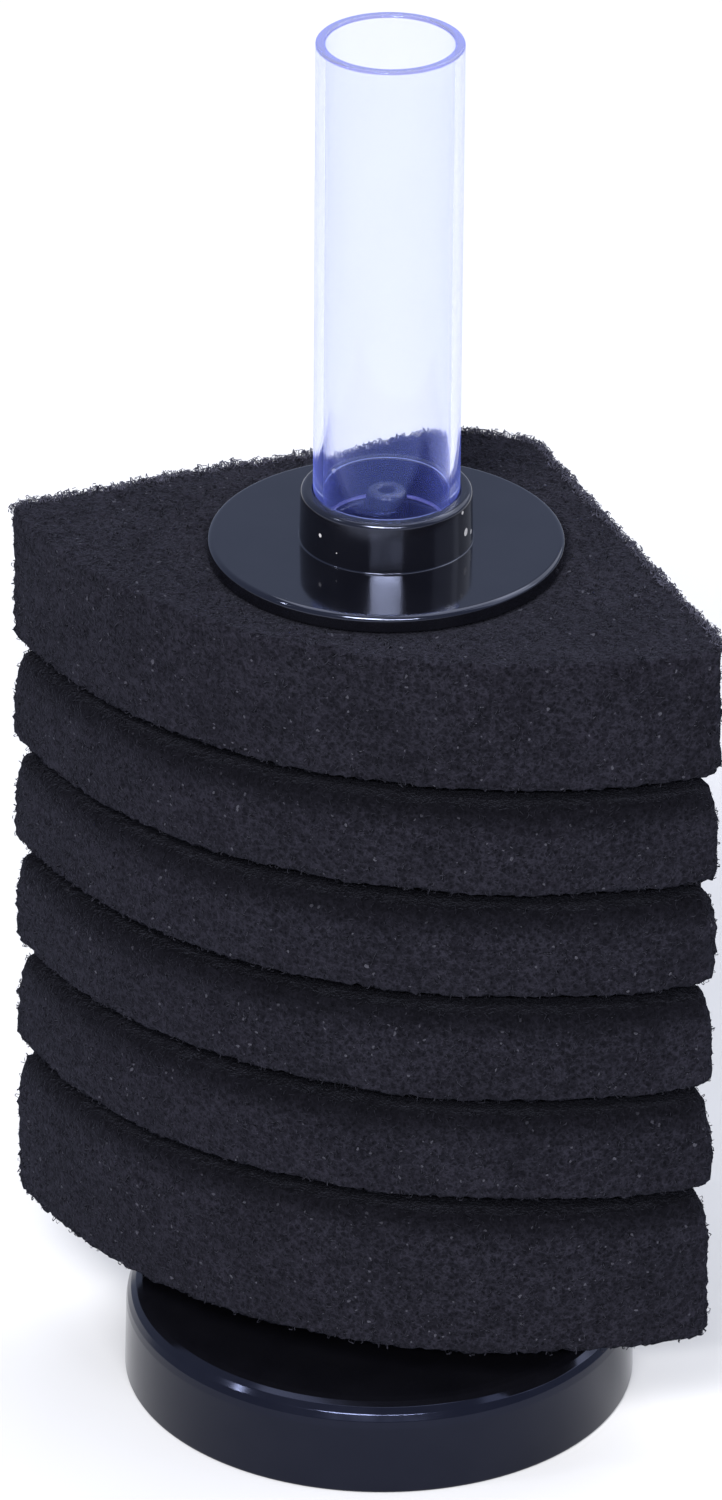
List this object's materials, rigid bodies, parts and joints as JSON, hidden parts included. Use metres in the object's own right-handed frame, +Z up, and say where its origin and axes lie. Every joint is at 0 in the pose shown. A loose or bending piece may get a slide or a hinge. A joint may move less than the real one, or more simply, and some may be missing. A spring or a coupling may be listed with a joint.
{
  "type": "corner sponge filter",
  "caption": "Air-driven corner sponge filter: a grooved black foam block on a slotted column, with a round weighted base, a disc cap, an air nipple and a clear riser tube.",
  "frame": {"origin": "centre of the base's underside, on the axis of the column and the riser tube", "axes": "+Z up along the riser tube; -Y towards the middle of the foam's curved front; +Y towards the foam's cut back corner"},
  "size_m": [0.133, 0.0948, 0.2551],
  "materials": {
    "base_black": "gloss",
    "ballast_stone": "matte",
    "cover_black": "satin",
    "column_black": "satin",
    "foam_charcoal": "matte",
    "cap_black": "gloss",
    "injector_black": "gloss",
    "diffuser_black": "matte",
    "riser_clear": "polished"
  },
  "bodies": {
    "base": {"base_housing": "base_black", "base_ballast": "ballast_stone", "base_cover": "cover_black"},
    "column": {"column_segment_lower": "column_black", "column_segment_middle": "column_black", "column_segment_upper": "column_black"},
    "foam": {"foam_block": "foam_charcoal"},
    "cap": {"top_cap": "cap_black", "air_injector": "injector_black", "air_diffuser": "diffuser_black"},
    "riser": {"riser_tube": "riser_clear"}
  },
  "joints": [
    {"name": "column_turn", "type": "hinge", "parent": "base", "child": "column", "pos_m": [0, 0, 0.026], "axis": [0, 0, 1], "continuous": true},
    {"name": "foam_slide", "type": "slide", "parent": "column", "child": "foam", "axis": [0, 0, 1], "range_m": [0, 0.136]},
    {"name": "cap_pull", "type": "slide", "parent": "foam", "child": "cap", "axis": [0, 0, 1], "range_m": [0, 0.045]},
    {"name": "riser_pull", "type": "slide", "parent": "cap", "child": "riser", "axis": [0, 0, 1], "range_m": [0, 0.009]}
  ]
}
